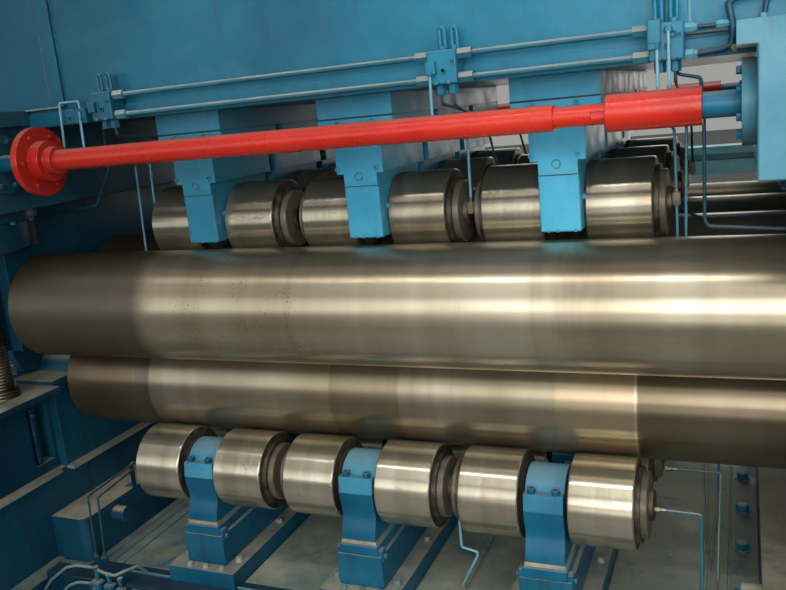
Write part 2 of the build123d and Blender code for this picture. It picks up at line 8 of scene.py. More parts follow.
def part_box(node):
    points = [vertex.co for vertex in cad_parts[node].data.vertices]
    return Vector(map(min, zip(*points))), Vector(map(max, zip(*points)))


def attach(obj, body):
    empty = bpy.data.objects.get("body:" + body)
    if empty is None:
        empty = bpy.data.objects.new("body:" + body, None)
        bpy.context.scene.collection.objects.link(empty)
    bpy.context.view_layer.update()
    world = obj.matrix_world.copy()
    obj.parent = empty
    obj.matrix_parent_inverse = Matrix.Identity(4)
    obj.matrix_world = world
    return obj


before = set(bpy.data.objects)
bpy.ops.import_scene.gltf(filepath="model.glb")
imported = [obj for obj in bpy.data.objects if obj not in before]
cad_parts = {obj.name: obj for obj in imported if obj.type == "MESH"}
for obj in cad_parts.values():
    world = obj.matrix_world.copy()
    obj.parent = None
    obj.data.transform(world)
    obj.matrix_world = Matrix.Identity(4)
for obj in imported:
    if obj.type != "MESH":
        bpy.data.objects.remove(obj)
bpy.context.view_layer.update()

scene = bpy.context.scene
rng = random.Random(7)

# Camera at the photo's viewing angle
lens_mm = 37.94
camera_place = Vector((1.1193, -2.9130, 1.8966))
camera_right = Vector((0.92068179, 0.37877503, -0.09420469))
camera_down = Vector((-0.0012037, -0.23859961, -0.97111729))
camera_forward = Vector((-0.39031218, 0.89420339, -0.21921839))

# Places in metres, as the CAD has them
deck_z = 0.322
pedestal_x = (-0.640, -0.032, 0.576)
pedestal_y = (-0.615, -0.205, 0.205, 0.615)  # and the upper work rolls
bracket_x = (-0.575, 0.033, 0.641)
bracket_y = (-0.41, 0.0, 0.41)  # and the lower work rolls
bracket_face = 0.178
upper_axis_z = 1.3000
lower_backup_z = 0.7026
upper_backup_z = 1.5586
shaft_y = 0.865
shaft_z = 1.836
girder_x = 1.145
girder_end_x = 1.660
lifting_screw_x = 1.425
lifting_screw_y = 0.790
girder_top_z = 2.004
block_x = (-0.736, 0.396, 0.952)
block_front_y = -0.800
block_outlet_y = -0.765
neck_cover_x = 1.510
barrel_end = 1.299

# Signs, grids and directions
both = (-1, 1)
four = [(a, b) for a in both for b in both]
pedestals = [(x, y) for x in pedestal_x for y in pedestal_y]
brackets = [(x, y) for x in bracket_x for y in bracket_y]
rightward = (1, 0, 0)
frontward = (0, -1, 0)
upward = (0, 0, 1)


# Colours and materials

def rgb(red, green, blue):
    """A colour as it looks on a screen, 0 to 255, in the linear form that nodes use."""
    shares = [value / 255 for value in (red, green, blue)]
    return (*(c / 12.92 if c <= 0.04045 else ((c + 0.055) / 1.055) ** 2.4 for c in shares), 1.0)


class Surface:
    """A node material under construction, with short calls for its nodes."""

    def __init__(self, name):
        self.material = bpy.data.materials.new(name)
        self.material.use_nodes = True
        self.tree = self.material.node_tree
        self.tree.nodes.clear()
        self.shader = self.node("BsdfPrincipled")
        self.node("OutputMaterial", self.shader.outputs["BSDF"])
        self.places = self.node("TexCoord").outputs["Object"]
        self.geometry = self.node("NewGeometry")

    def put(self, value, socket):
        """Links an output to a socket, or sets it to a plain value."""
        if isinstance(value, bpy.types.NodeSocket):
            self.tree.links.new(value, socket)
        else:
            socket.default_value = value

    def node(self, kind, *inputs, **settings):
        """A new node with its settings, and its first inputs linked or set."""
        node = self.tree.nodes.new("ShaderNode" + kind)
        for name, value in settings.items():
            setattr(node, name, value)
        for value, socket in zip(inputs, node.inputs):
            self.put(value, socket)
        return node

    def calc(self, operation, a, b=0.0, c=0.0):
        return self.node("Math", a, b, c, operation=operation).outputs[0]

    def times(self, a, b):
        return self.calc("MULTIPLY", a, b)

    def span(self, value, start, stop, low=0.0, high=1.0):
        """Maps start..stop to low..high smoothly, and holds the ends."""
        given = (value, start, stop, low, high)
        return self.node("MapRange", *given, interpolation_type="SMOOTHSTEP").outputs[0]

    def stretched(self, factors, shift=0.0):
        """The place on the object, scaled by one factor or three and shifted."""
        scale = factors if isinstance(factors, tuple) else (factors,) * 3
        moved = (shift * 7.3, shift * 3.1, shift * 5.7)
        return self.node("VectorMath", self.places, scale, moved, operation="MULTIPLY_ADD").outputs[0]

    def noise(self, factors, detail=4.0, rough=0.55, shift=0.0):
        """Cloudy noise with that many blobs per metre, on all axes or along X, Y and Z."""
        node = self.node("TexNoise", self.stretched(factors, shift))
        node.inputs["Scale"].default_value = 1.0
        node.inputs["Detail"].default_value = detail
        node.inputs["Roughness"].default_value = rough
        return node.outputs["Fac"]

    def cells(self, factors):
        """Distance to the nearest of scattered points, with that many per metre."""
        node = self.node("TexVoronoi", self.stretched(factors))
        node.inputs["Scale"].default_value = 1.0
        return node.outputs["Distance"]

    def ramp(self, value, *stops):
        """Colours along a value, from (position, colour) stops."""
        node = self.node("ValToRGB", value)
        elements = node.color_ramp.elements
        while len(elements) < len(stops):
            elements.new(0.5)
        for element, (position, colour) in zip(elements, stops):
            element.position = position
            element.color = colour
        return node.outputs["Color"]

    def mix(self, share, a, b):
        """Colour a turning into colour b."""
        node = self.node("Mix", share, data_type="RGBA")
        self.put(a, node.inputs[6])
        self.put(b, node.inputs[7])
        return node.outputs[2]

    def part(self, vector, which):
        return self.node("SeparateXYZ", vector).outputs[which]

    def rounded(self, radius):
        """Normal with the sharp edges rounded off by that radius."""
        return self.node("Bevel", radius, samples=4).outputs["Normal"]

    def edge(self, normal):
        """1 along the sharp edges and 0 on the faces, from a rounded normal."""
        node = self.node("VectorMath", normal, self.geometry.outputs["Normal"], operation="DOT_PRODUCT")
        return self.span(node.outputs["Value"], 0.995, 0.90)

    def ground_along(self, direction):
        """Turns the stretched highlights of ground steel to a direction."""
        self.put(self.node("CombineXYZ", *direction).outputs[0], self.shader.inputs["Tangent"])

    def bump(self, height, distance, strength=1.0, normal=None):
        node = self.node("Bump")
        node.inputs["Strength"].default_value = strength
        node.inputs["Distance"].default_value = distance
        self.put(height, node.inputs["Height"])
        if normal is not None:
            self.put(normal, node.inputs["Normal"])
        return node.outputs["Normal"]

    def finish(self, colour, roughness, normal=None, **plain):
        """Connects the shader's inputs. Plain numbers are set on its own sockets."""
        self.put(colour, self.shader.inputs["Base Color"])
        self.put(roughness, self.shader.inputs["Roughness"])
        if normal is not None:
            self.put(normal, self.shader.inputs["Normal"])
        for name, value in plain.items():
            self.shader.inputs[name.replace("_", " ")].default_value = value
        return self.material


dust_colour = rgb(176, 170, 146)
# Dark colour of the grime runs, and of the painted shade on downward faces.
grime_and_shade_colour = rgb(38, 36, 32)


def painted(name, dark, middle, bright, dust=0.5, grime=0.4, wear=0.5, rough=0.34, shift=0.0,
            soft_edge=0.004, left_shade=0.0, left_shade_colour=(4, 40, 58), gloss=0.30, dust_from=0.55, stains_and_shade=1.0):
    """Machine enamel: clouded colour, dust on level faces, grime runs on upright ones, painted shade on
    downward faces, worn edges. left_shade is how far the paint is darkened to left_shade_colour at the
    machine's left end, as painted shade, dust_from is how level a face is when dust begins to lie on it,
    and stains_and_shade is how strong its stains and the painted shade on downward faces are."""
    s = Surface(name)
    dark, middle, bright = rgb(*dark), rgb(*middle), rgb(*bright)
    cloud = s.noise(1.6, 6.0, 0.6, shift)
    colour = s.ramp(cloud, (0.30, dark), (0.50, middle), (0.72, bright))
    # Painted shade: the paint darkens towards the machine's left end.
    if left_shade:
        left_end_mask = s.span(s.part(s.places, 0), 1.2, -1.3, 0.0, left_shade)
        colour = s.mix(left_end_mask, colour, rgb(*left_shade_colour))
    patch = s.noise(13.0, 5.0, 0.6, shift + 3.0)
    colour = s.mix(s.span(patch, 0.52, 0.75, 0.0, 0.30 * stains_and_shade), colour, dark)
    run = s.noise((24.0, 24.0, 2.2), 4.0, 0.6, shift + 5.0)
    up = s.part(s.geometry.outputs["Normal"], 2)
    upright = s.span(s.calc("ABSOLUTE", up), 0.35, 0.1)
    run_mask = s.times(s.span(run, 0.54, 0.74, 0.0, grime), upright)
    colour = s.mix(run_mask, colour, grime_and_shade_colour)
    drift = s.noise(7.0, 6.0, 0.65, shift + 9.0)
    level = s.span(up, dust_from, dust_from + 0.37)
    dusty = s.times(level, s.span(drift, 0.30, 0.62, 0.45 * dust, dust))
    colour = s.mix(dusty, colour, dust_colour)
    # Painted shade: faces turned downwards are darkened.
    under = s.span(up, -0.4, -0.9, 0.0, 0.55 * stains_and_shade)
    colour = s.mix(under, colour, grime_and_shade_colour)
    normal = s.rounded(soft_edge)
    chip = s.noise(60.0, 5.0, 0.7, shift + 11.0)
    worn = s.times(s.edge(normal), s.span(chip, 0.50, 0.62, 0.0, wear))
    colour = s.mix(worn, colour, s.ramp(patch, (0.4, rgb(62, 56, 50)), (0.6, rgb(150, 152, 146))))
    fine = s.noise(170.0, 3.0, 0.6, shift + 1.0)
    specks = s.span(s.noise(95.0, 2.0, 0.5, shift + 6.0), 0.66, 0.74, 0.0, 0.12)
    colour = s.mix(specks, colour, bright)
    lumps = s.noise(9.0, 3.0, 0.5, shift + 2.0)
    relief = s.calc("MULTIPLY_ADD", lumps, 3.0, fine)
    normal = s.bump(relief, 0.0006, 0.5, normal)
    roughness = s.calc("MULTIPLY_ADD", dusty, 0.5, s.span(patch, 0.3, 0.7, rough - 0.06, rough + 0.10))
    return s.finish(colour, roughness, normal, Specular_IOR_Level=gloss)


def toned(light_tone, red, green, blue):
    """A colour made brighter or darker by a factor, the painted light and shade of a roll's row."""
    return rgb(red * light_tone, green * light_tone, blue * light_tone)


def work_roll_steel(name, shift, matte_and_shade_end=-1.32, matte_and_shade=0.0, bands=(), light_tone=1.0, pitted=0.0,
                    matte_and_shade_colour=rgb(60, 56, 43)):
    """Ground roll steel: oily brown film, smears, a pitted stretch, a matte left end and worn bands,
    given as (start, stop, colour, share) along the roll. The left end is olive where it is the roll's
    own matte steel and near black as painted shade where its end colour is dark, and light_tone makes
    the whole roll lighter or darker as painted light and shade for its row."""
    s = Surface(name)
    x = s.part(s.places, 0)
    band = s.noise((3.1, 0.15, 0.15), 3.0, 0.6, shift)
    film = s.noise((1.1, 5.0, 5.0), 6.0, 0.62, shift + 2.0)
    smear = s.noise((7.0, 1.4, 1.4), 5.0, 0.65, shift + 4.0)

    # The tone factor lightens or darkens the steel as painted light and shade for the roll's row.
    colour = s.ramp(band, (0.34, toned(light_tone, 146, 136, 112)), (0.5, toned(light_tone, 166, 156, 134)),
                    (0.66, toned(light_tone, 186, 178, 158)))
    colour = s.mix(s.span(film, 0.45, 0.72, 0.0, 0.50), colour, toned(light_tone, 130, 114, 86))
    colour = s.mix(s.span(smear, 0.55, 0.75, 0.0, 0.35), colour, toned(light_tone, 100, 88, 70))
    wander = s.calc("MULTIPLY_ADD", smear, 0.02, x)
    for start, stop, shade, share in bands:
        after_start = s.span(wander, start - 0.004, start + 0.008)
        inside = s.times(after_start, s.span(wander, stop + 0.008, stop - 0.004))
        colour = s.mix(s.times(inside, share), colour, shade)
    # Left end: the roll's own matte steel, darkened further as painted shade where its end colour is near
    # black.
    left_end_mask = s.span(s.calc("MULTIPLY_ADD", film, 0.10, x), matte_and_shade_end + 0.10, matte_and_shade_end - 0.02, 0.0, matte_and_shade)
    colour = s.mix(left_end_mask, colour, matte_and_shade_colour)
    ends = s.span(s.calc("ABSOLUTE", x), barrel_end - 0.003, barrel_end + 0.003)
    colour = s.mix(ends, colour, toned(light_tone, 84, 74, 58))
    pit_place = s.noise(7.0, 5.0, 0.7, shift + 6.0)
    pits = s.span(s.cells(85.0), 0.26, 0.16)
    pits = s.times(pits, s.span(pit_place, 0.47, 0.56))
    stretch = s.times(s.span(x, -0.66, -0.56), s.span(x, 0.06, -0.10))
    pits = s.times(pits, s.times(stretch, pitted))
    colour = s.mix(s.times(pits, 0.75), colour, rgb(66, 54, 42))
    turning = s.noise((240.0, 1.0, 1.0), 1.0, 0.5, shift + 8.0)
    scratch = s.noise((30.0, 1.0, 1.0), 1.0, 0.5, shift + 7.0)
    relief = s.calc("MULTIPLY_ADD", scratch, 0.5, turning)
    relief = s.calc("SUBTRACT", relief, s.times(pits, 1.2))
    normal = s.bump(relief, 0.00002, 0.4, s.rounded(0.003))
    roughness = s.span(smear, 0.3, 0.7, 0.285, 0.34)
    roughness = s.calc("MULTIPLY_ADD", left_end_mask, 0.22, roughness)
    roughness = s.calc("MULTIPLY_ADD", pits, 0.3, roughness)
    s.ground_along((1.0, 0.0, 0.0))
    s.put(s.calc("MULTIPLY_ADD", left_end_mask, -0.30, 0.82), s.shader.inputs["Metallic"])
    return s.finish(colour, roughness, normal, Anisotropic=0.8, Specular_IOR_Level=0.5)


def backup_steel(name, y, z, shift, light_tone=1.0):
    """Turned steel under a thin dull film with fine turning lines, greasy brown on the end rings.
    The axis runs along X through (y, z), and light_tone makes the steel lighter or darker as painted light
    and shade for its row."""
    ring_radius, cap_radius = 0.1335, 0.0985
    s = Surface(name)
    dy = s.calc("SUBTRACT", s.part(s.places, 1), y)
    dz = s.calc("SUBTRACT", s.part(s.places, 2), z)
    radius = s.calc("SQRT", s.calc("ADD", s.times(dy, dy), s.times(dz, dz)))
    band = s.noise((16.0, 0.4, 0.4), 4.0, 0.6, shift)
    cloud = s.noise(5.0, 5.0, 0.6, shift + 2.0)

    # The tone factor lightens or darkens the steel as painted light and shade for the roller's row.
    colour = s.ramp(band, (0.35, toned(light_tone, 168, 162, 142)), (0.5, toned(light_tone, 180, 174, 154)),
                    (0.66, toned(light_tone, 193, 187, 167)))
    colour = s.mix(s.span(cloud, 0.48, 0.75, 0.0, 0.45), colour, toned(light_tone, 140, 124, 98))
    grease = s.noise(30.0, 6.0, 0.7, shift + 5.0)
    brown = s.ramp(grease, (0.35, rgb(36, 33, 27)), (0.52, rgb(66, 60, 48)), (0.7, rgb(108, 100, 82)))
    ring = s.span(radius, ring_radius, ring_radius - 0.0035)
    colour = s.mix(ring, colour, brown)
    cap = s.span(radius, cap_radius, cap_radius - 0.0025, 0.0, 0.65)
    colour = s.mix(cap, colour, rgb(132, 126, 108))
    smudge = s.noise((9.0, 26.0, 26.0), 5.0, 0.7, shift + 9.0)
    colour = s.mix(s.span(smudge, 0.60, 0.72, 0.0, 0.45), colour, toned(light_tone, 92, 80, 62))
    spots = s.span(s.cells(70.0), 0.26, 0.12)
    spot_place = s.noise((5.0, 9.0, 9.0), 3.0, 0.6, shift + 6.0)
    spots = s.times(spots, s.span(spot_place, 0.58, 0.7))
    colour = s.mix(s.times(spots, 0.7), colour, rgb(84, 56, 32))
    turning = s.noise((300.0, 1.0, 1.0), 1.0, 0.5, shift + 8.0)
    relief = s.calc("MULTIPLY_ADD", s.times(ring, grease), 30.0, turning)
    normal = s.bump(relief, 0.00002, 0.4, s.rounded(0.003))
    roughness = s.span(cloud, 0.3, 0.7, 0.20, 0.265)
    roughness = s.calc("MULTIPLY_ADD", ring, 0.18, roughness)
    metal = s.calc("MULTIPLY_ADD", ring, -0.55, 0.84)
    s.put(metal, s.shader.inputs["Metallic"])
    s.ground_along((1.0, 0.0, 0.0))
    return s.finish(colour, roughness, normal, Anisotropic=0.75)


def greasy_steel(name, dark, bright, rough=0.42, shift=0.0, lines=40.0):
    """Machined steel under old grease and dust."""
    s = Surface(name)
    dark, bright = rgb(*dark), rgb(*bright)
    cloud = s.noise(11.0, 6.0, 0.65, shift)
    colour = s.ramp(cloud, (0.34, dark), (0.66, bright))
    up = s.part(s.geometry.outputs["Normal"], 2)
    drift = s.noise(18.0, 5.0, 0.6, shift + 2.0)
    dusty = s.times(s.span(up, 0.6, 0.95), s.span(drift, 0.35, 0.65, 0.1, 0.5))
    colour = s.mix(dusty, colour, dust_colour)
    normal = s.bump(s.noise(lines, 3.0, 0.6, shift + 4.0), 0.0004, 0.5, s.rounded(0.0015))
    return s.finish(colour, s.span(cloud, 0.3, 0.7, rough - 0.08, rough + 0.14), normal, Metallic=0.8)


def threaded_steel(name):
    """Oiled lifting screw with its thread."""
    pitch = 0.012
    s = Surface(name)
    z = s.part(s.places, 2)
    wave = s.calc("SINE", s.times(z, 2 * math.pi / pitch))
    cloud = s.noise(8.0, 5.0, 0.6, 1.0)
    colour = s.ramp(cloud, (0.35, rgb(58, 52, 44)), (0.65, rgb(134, 126, 112)))
    colour = s.mix(s.span(wave, 0.2, -0.9, 0.0, 0.6), colour, rgb(30, 26, 22))
    normal = s.bump(wave, 0.0018, 0.9)
    return s.finish(colour, s.span(cloud, 0.3, 0.7, 0.26, 0.42), normal, Metallic=0.9)


def dusty_deck(name, shift=0.0):
    """Deck plate under pale workshop dust with oil stains and scuffs."""
    s = Surface(name)
    cloud = s.noise(2.4, 7.0, 0.65, shift)
    colour = s.ramp(cloud, (0.30, rgb(84, 112, 114)), (0.5, rgb(128, 142, 132)), (0.7, rgb(176, 174, 148)))
    # Paler towards the right-hand end of the deck.
    colour = s.mix(s.span(s.part(s.places, 0), 0.4, 1.1, 0.0, 0.6), colour, rgb(150, 152, 136))
    paint = s.noise(5.0, 6.0, 0.7, shift + 3.0)
    colour = s.mix(s.span(paint, 0.54, 0.70, 0.0, 0.6), colour, rgb(40, 96, 116))
    oil = s.noise(3.3, 5.0, 0.6, shift + 6.0)
    colour = s.mix(s.span(oil, 0.60, 0.72, 0.0, 0.35), colour, rgb(58, 58, 50))
    grit = s.noise(210.0, 4.0, 0.7, shift + 1.0)
    colour = s.mix(s.span(grit, 0.60, 0.70, 0.0, 0.35), colour, rgb(70, 64, 54))
    rim = s.rounded(0.003)
    colour = s.mix(s.times(s.edge(rim), 0.5), colour, rgb(96, 128, 138))
    normal = s.bump(grit, 0.0007, 0.6, rim)
    return s.finish(colour, s.span(oil, 0.5, 0.7, 0.78, 0.36), normal)


# The left-end share in these enamels is painted shade towards the machine's left end.
blue = painted("blue_enamel", (5, 67, 94), (12, 97, 129), (30, 126, 163), left_shade=0.4)
deep_blue = painted("blue_enamel_deep", (8, 44, 64), (14, 68, 92), (30, 96, 122), shift=4.0,
                    grime=0.5, left_shade=0.45)
bright_blue = painted("blue_enamel_bright", (30, 128, 164), (58, 163, 200), (98, 202, 236), shift=8.0,
                      grime=0.2, left_shade=0.72)
pale_blue = painted("blue_enamel_pale", (50, 118, 142), (84, 148, 170), (116, 178, 196), shift=12.0,
                    grime=0.2, left_shade=0.85)
beam_blue = painted("blue_enamel_beam", (10, 98, 128), (24, 126, 156), (44, 150, 178), shift=15.0,
                    grime=0.2, left_shade=0.75, stains_and_shade=0.7)
cap_blue = painted("blue_enamel_caps", (34, 104, 134), (66, 142, 172), (104, 176, 200), dust=0.25, shift=47.0,
                   grime=0.2)
# Painted light: the exit tie's enamel is much paler than the machine's blue, standing for light the lamps do
# not bring to it.
tie_lit_blue = painted("blue_enamel_tie_lit", (96, 180, 202), (148, 230, 246), (202, 250, 250), shift=17.0, grime=0.3)
rail_blue = painted("blue_enamel_rails", (5, 60, 85), (14, 87, 115), (32, 113, 140), dust=0.8, shift=18.0,
                    grime=0.5, left_shade=0.2)
base_blue = painted("blue_enamel_bases", (14, 54, 72), (22, 80, 104), (44, 112, 136), dust=0.95, shift=41.0,
                    grime=0.5, left_shade=0.45)
rail_front = painted("blue_enamel_front_rail", (5, 41, 62), (9, 60, 84), (20, 84, 108), dust=0.06, shift=43.0,
                     grime=0.4, left_shade=0.3)
tube_grey = painted("tube_enamel_grey", (22, 56, 70), (40, 80, 94), (70, 108, 120), dust=0.35, shift=45.0,
                    soft_edge=0.001)
red = painted("red_enamel", (184, 26, 12), (214, 42, 20), (226, 58, 32), dust=0.22, grime=0.04, wear=0.3,
              rough=0.27, shift=20.0, left_shade=0.6, left_shade_colour=(112, 14, 16), gloss=0.5, stains_and_shade=0.3)
motor_blue = painted("motor_enamel", (12, 46, 64), (23, 71, 94), (46, 101, 126), dust=0.7, shift=24.0,
                     soft_edge=0.0015)
bare = greasy_steel("bolt_steel", (62, 58, 50), (140, 134, 120))
spindle = greasy_steel("spindle_end_steel", (46, 38, 28), (118, 104, 82), shift=3.0)
zinc = greasy_steel("fitting_steel", (112, 108, 92), (186, 180, 158), rough=0.34, shift=6.0)
# dust_from=0.2 makes the whole upper half of these tubes paler.
tube_blue = painted("tube_enamel", (30, 84, 104), (50, 114, 136), (84, 144, 160), dust=0.7, shift=28.0,
                    soft_edge=0.001, left_shade=0.3, dust_from=0.2)
tube_dark = painted("tube_enamel_dark", (16, 37, 48), (30, 67, 85), (55, 101, 120), dust=0.3, shift=31.0,
                    soft_edge=0.001)
tube_light = painted("tube_enamel_light", (70, 128, 150), (104, 160, 180), (150, 196, 208), dust=0.2,
                     shift=33.0, grime=0.15, soft_edge=0.001)
pipe_pale = painted("pipe_enamel_dusty", (66, 100, 108), (98, 128, 132), (140, 158, 152), dust=0.9,
                    shift=35.0, grime=0.3, soft_edge=0.001)
pipe_dark = painted("pipe_enamel_dark", (6, 44, 64), (14, 64, 88), (40, 100, 124), dust=0.35, shift=37.0,
                    soft_edge=0.001)
seam_dark = painted("seam_dark", (6, 34, 48), (12, 48, 64), (24, 66, 84), shift=39.0, soft_edge=0.0002)
shim = greasy_steel("shim_steel", (168, 160, 138), (222, 216, 196), rough=0.5, shift=9.0)
deck = dusty_deck("deck_plate")
screw = threaded_steel("lifting_screw_steel")


def dress(node, material):
    """Gives a CAD node its material."""
    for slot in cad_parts[node].material_slots:
        slot.material = material


finishes = (
    (blue, ("pedestals", "pedestal_feet", "front_shaft_stubs", "rear_shaft_stubs")),
    (deep_blue, ("side_frames", "nut_housings", "upper_chocks")),
    (bright_blue, ("brackets", "bracket_rails", "upper_bearing_caps")),
    (pale_blue, ("end_girders", "shaft_flanges")),
    (beam_blue, ("upper_beam", "manifold_blocks")),
    (cap_blue, ("lower_bearing_caps",)),
    (tie_lit_blue, ("exit_tie",)),
    (rail_blue, ("pedestal_rails",)),
    (rail_front, ("bed_rails",)),
    (base_blue, ("side_bases", "guide_blocks", "lower_chocks")),
    (deck, ("bed_frame",)),
    (tube_blue, ("beam_pipes",)),
    (red, ("front_cross_shaft", "rear_cross_shaft")),
    (motor_blue, ("drive_motor",)),
    (shim, ("pedestal_shims",)),
    (spindle, ("lower_spindles", "upper_spindles")),
    (screw, ("lifting_screws",)),
)
for material, nodes in finishes:
    for node in nodes:
        dress(node, material)
front_bands = [(-0.16, -0.145, rgb(120, 108, 84), 0.2), (0.60, 0.612, rgb(140, 128, 104), 0.2)]
lower_bands = [(-1.31, -0.97, rgb(92, 78, 56), 0.7), (-0.97, -0.90, rgb(56, 46, 34), 0.6),
               (-0.36, -0.15, rgb(150, 136, 110), 0.4), (-0.15, 0.10, rgb(104, 84, 56), 0.45),
               (0.607, 0.836, rgb(176, 158, 126), 0.55), (0.836, 0.842, rgb(226, 214, 184), 0.7),
               (0.842, 1.31, rgb(92, 80, 58), 0.70)]
# Painted light and shade: each row's tone factor lightens or darkens its steel, and rolls 2 to 4 get a
# near-black left end as painted shade.
for i, y in enumerate(pedestal_y):
    steel = work_roll_steel("upper_roll_steel_%d" % (i + 1), 10.0 * i, -0.70, 0.92,
                            front_bands if i == 0 else (), 1.03, 0.9 if i == 0 else 0.0,
                            rgb(60, 56, 43) if i == 0 else rgb(34, 32, 28))
    dress("upper_work_roll_%d" % (i + 1), steel)
    steel = backup_steel("lower_backup_steel_%d" % (i + 1), y, lower_backup_z, 3.0 * i, 1.04)
    dress("lower_backup_row_%d" % (i + 1), steel)
# Painted shade: darker tones for the lower work rolls and the upper backup rollers.
for i, y in enumerate(bracket_y):
    steel = work_roll_steel("lower_roll_steel_%d" % (i + 1), 50.0 + i, -1.25, 0.3,
                            lower_bands if i == 0 else (), 0.90)
    dress("lower_work_roll_%d" % (i + 1), steel)
    steel = backup_steel("upper_backup_steel_%d" % (i + 1), y, upper_backup_z, 20.0 + i, 0.84)
    dress("upper_backup_row_%d" % (i + 1), steel)


# Mesh building

def aimed(place, direction):
    """Matrix that puts a shape made along +Z at a place, pointing in a direction."""
    turn = Vector(direction).normalized().to_track_quat("Z", "Y").to_matrix().to_4x4()
    return Matrix.Translation(Vector(place)) @ turn


def circle(radius, count, phase=0.0):
    """Points evenly round a circle; phase is how many steps round the first one is."""
    for k in range(count):
        a = 2 * math.pi * (k + phase) / count
        yield radius * math.cos(a), radius * math.sin(a)


def ring(bm, matrix, radius, height, sides, phase=0.0):
    return [bm.verts.new(matrix @ Vector((u, v, height))) for u, v in circle(radius, sides, phase)]


def bridge(bm, low, high):
    """Faces between two rings of vertices."""
    for face in zip(low, low[1:] + low[:1], high[1:] + high[:1], high):
        bm.faces.new(face)


def lathe(bm, profile, matrix, sides=24, turn=0.0):
    """Turned shape from (distance along the axis, radius) points, closed at both ends."""
    phase = turn * sides / (2 * math.pi)
    rings = [ring(bm, matrix, radius, height, sides, phase) for height, radius in profile]
    for low, high in zip(rings[:-1], rings[1:]):
        bridge(bm, low, high)
    bm.faces.new(list(reversed(rings[0])))
    bm.faces.new(rings[-1])


def turned(bm, profile, place, direction, sides=6):
    """Turned or hexagonal shape at a place, along a direction."""
    lathe(bm, profile, aimed(place, direction), sides)


def nut(bm, place, direction, radius, height, tip, start=0.0, tail=None, sides=6):
    """Hexagon nut that narrows to its tip radius, with a tail up to a (height, radius) where given."""
    profile = [(start, radius), (height, radius), (height + 0.002, tip)]
    turned(bm, profile + [tail] if tail else profile, place, direction, sides)


def ring_plate(bm, matrix, inner, outer, height, sides=40):
    """Flat ring with a bevelled outer edge."""
    profile = ((inner, 0), (outer, 0), (outer, height - 0.002), (outer - 0.002, height), (inner, height))
    rings = [ring(bm, matrix, radius, z, sides) for radius, z in profile]
    for low, high in zip(rings, rings[1:] + rings[:1]):
        bridge(bm, low, high)


def slab(bm, start, stop, edge=0.002, matrix=None):
    """Block between any two opposite corners with its edges bevelled."""
    made = bmesh.ops.create_cube(bm, size=1.0)["verts"]
    size = [abs(b - a) for a, b in zip(start, stop)]
    middle = [(a + b) / 2 for a, b in zip(start, stop)]
    for v in made:
        v.co = Vector((v.co[i] * size[i] + middle[i] for i in range(3)))
    if edge:
        sides = list({e for v in made for e in v.link_edges})
        out = bmesh.ops.bevel(bm, geom=sides, offset=edge, segments=2, affect="EDGES")
        made = list({v for f in out["faces"] for v in f.verts} | {v for v in made if v.is_valid})
    if matrix is not None:
        for v in made:
            v.co = matrix @ v.co


def hex_bolt(bm, place, direction, across=0.024, washer=True):
    """Hexagon bolt head with a chamfered top on a washer."""
    m = aimed(place, direction)
    corner = across / 2 / math.cos(math.pi / 6)
    foot = 0.0
    if washer:
        foot = across * 0.10
        lathe(bm, [(0, corner * 1.22), (foot * 0.8, corner * 1.22), (foot, corner * 1.14)], m, 24)
    top = foot + across * 0.62
    profile = [(foot, corner), (top - across * 0.07, corner), (top, corner * 0.86), (top, corner * 0.3)]
    lathe(bm, profile, m, 6, rng.uniform(0, 1))


def screw_ring(bm, matrix, radius, height, count, across):
    """Bolt heads evenly round an axis."""
    out = matrix.to_3x3() @ Vector((0, 0, 1))
    for u, v in circle(radius, count, 0.5):
        hex_bolt(bm, matrix @ Vector((u, v, height)), out, across, False)


def socket_bolt(bm, place, direction, across=0.016):
    """Socket-head screw with its hexagon hole."""
    m = aimed(place, direction)
    r = across / 2
    h = across * 0.75
    lathe(bm, [(0, r), (h - r * 0.15, r), (h, r * 0.87), (h, r * 0.52), (h * 0.45, r * 0.5)], m, 20)


def place_piece(name, data, body, material):
    """Links a mesh or curve as a piece that rides on a body."""
    data.materials.append(material)
    piece = bpy.data.objects.new(name, data)
    scene.collection.objects.link(piece)
    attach(piece, body)


def add_piece(name, bm, body, material):
    """Makes a piece of a finished bmesh, smooth except at sharp edges."""
    bmesh.ops.recalc_face_normals(bm, faces=bm.faces)
    for face in bm.faces:
        face.smooth = True
    for edge in bm.edges:
        edge.smooth = len(edge.link_faces) == 2 and edge.calc_face_angle(0.0) < 0.55
    mesh = bpy.data.meshes.new(name)
    bm.to_mesh(mesh)
    bm.free()
    place_piece(name, mesh, body, material)


def softened(route, reach):
    """A tube's corners with a point a short way before and after each, so that it bends only there."""
    route = [Vector(p) for p in route]
    points = [route[0]]
    for before, corner, after in zip(route[:-2], route[1:-1], route[2:]):
        back = before - corner
        on = after - corner
        points.append(corner + back.normalized() * min(reach, back.length * 0.45))
        points.append(corner)
        points.append(corner + on.normalized() * min(reach, on.length * 0.45))
    points.append(route[-1])
    return points


def pipe(name, routes, radius, body, material):
    """Bent metal tubes, one smooth line per route, as one piece."""
    curve = bpy.data.curves.new(name, "CURVE")
    curve.dimensions = "3D"
    curve.bevel_depth = radius
    curve.bevel_resolution = 3
    curve.resolution_u = 6
    curve.use_fill_caps = True
    for route in routes:
        points = softened(route, radius * 4)
        spline = curve.splines.new("NURBS")
        spline.points.add(len(points) - 1)
        for p, co in zip(spline.points, points):
            p.co = (*co, 1.0)
        spline.order_u = 3
        spline.use_endpoint_u = True
    place_piece(name, curve, body, material)


# Bed and pedestals

